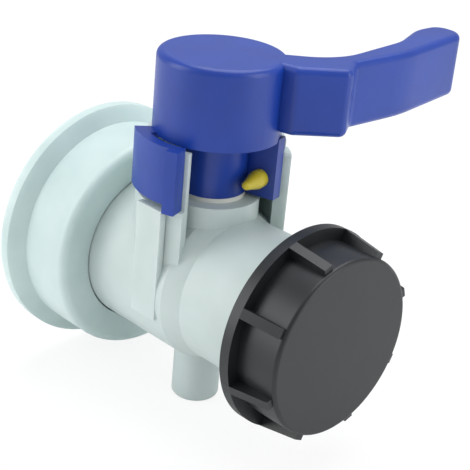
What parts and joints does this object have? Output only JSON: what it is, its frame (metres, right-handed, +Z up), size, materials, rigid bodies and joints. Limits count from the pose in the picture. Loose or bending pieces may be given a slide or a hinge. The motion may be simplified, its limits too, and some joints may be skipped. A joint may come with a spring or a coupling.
{
  "type": "butterfly valve",
  "caption": "Hand-turned plastic butterfly valve for a bulk liquid container, with a union nut, a lever handle with a lock pin, and a capped threaded spout.",
  "frame": {"origin": "centre of the union nut's open end, on the flow axis", "axes": "+X along the flow from the tank to the spout, +Z up along the stem to the handle"},
  "size_m": [0.1292, 0.1507, 0.1353],
  "materials": {
    "natural_hdpe_body": "satin, translucent",
    "natural_hdpe_nut": "satin, translucent",
    "nitrile_rubber": "matt",
    "epdm_rubber": "matt",
    "acetal": "satin",
    "glass_filled_pp": "satin",
    "blue_hdpe": "satin",
    "natural_pp_disc": "satin",
    "steel_pin": "ground",
    "yellow_pp": "gloss",
    "black_hdpe": "satin"
  },
  "bodies": {
    "body": {"valve_body": "natural_hdpe_body", "seat_liner": "nitrile_rubber", "upper_bush": "acetal", "pivot_bush": "acetal", "boss_plug": "natural_hdpe_body", "thrust_washer": "acetal", "inlet_gasket": "epdm_rubber", "retaining_ring": "glass_filled_pp", "slip_washer": "acetal"},
    "nut": {"union_nut": "natural_hdpe_nut"},
    "lever": {"handle": "blue_hdpe", "stem": "glass_filled_pp", "valve_disc": "natural_pp_disc", "disc_pins": "steel_pin", "stem_orings": "epdm_rubber", "lower_pivot": "glass_filled_pp", "pivot_oring": "epdm_rubber", "drive_pin": "steel_pin"},
    "pin": {"lock_pin": "yellow_pp"},
    "cap_seal": {"cap_gasket": "epdm_rubber"},
    "cap": {"outlet_cap": "black_hdpe"}
  },
  "joints": [
    {"name": "handle_turn", "type": "hinge", "parent": "body", "child": "lever", "pos_m": [0.0612, 0, 0], "axis": [0, 0, 1], "range_deg": [-90, 0]},
    {"name": "nut_spin", "type": "hinge", "parent": "body", "child": "nut", "pos_m": [0, 0, 0], "axis": [1, 0, 0], "continuous": true},
    {"name": "pin_pull", "type": "slide", "parent": "lever", "child": "pin", "axis": [0.2588, -0.9659, 0], "range_m": [0, 0.005]},
    {"name": "cap_travel", "type": "slide", "parent": "body", "child": "cap_seal", "axis": [1, 0, 0], "range_m": [0, 0.0155]},
    {"name": "cap_turn", "type": "hinge", "parent": "cap_seal", "child": "cap", "pos_m": [0.1112, 0, 0], "axis": [1, 0, 0], "range_deg": [0, 900]}
  ],
  "couplings": [
    {"joint": "cap_travel", "follows": "cap_turn", "m_per_rad": 0.00095493}
  ]
}
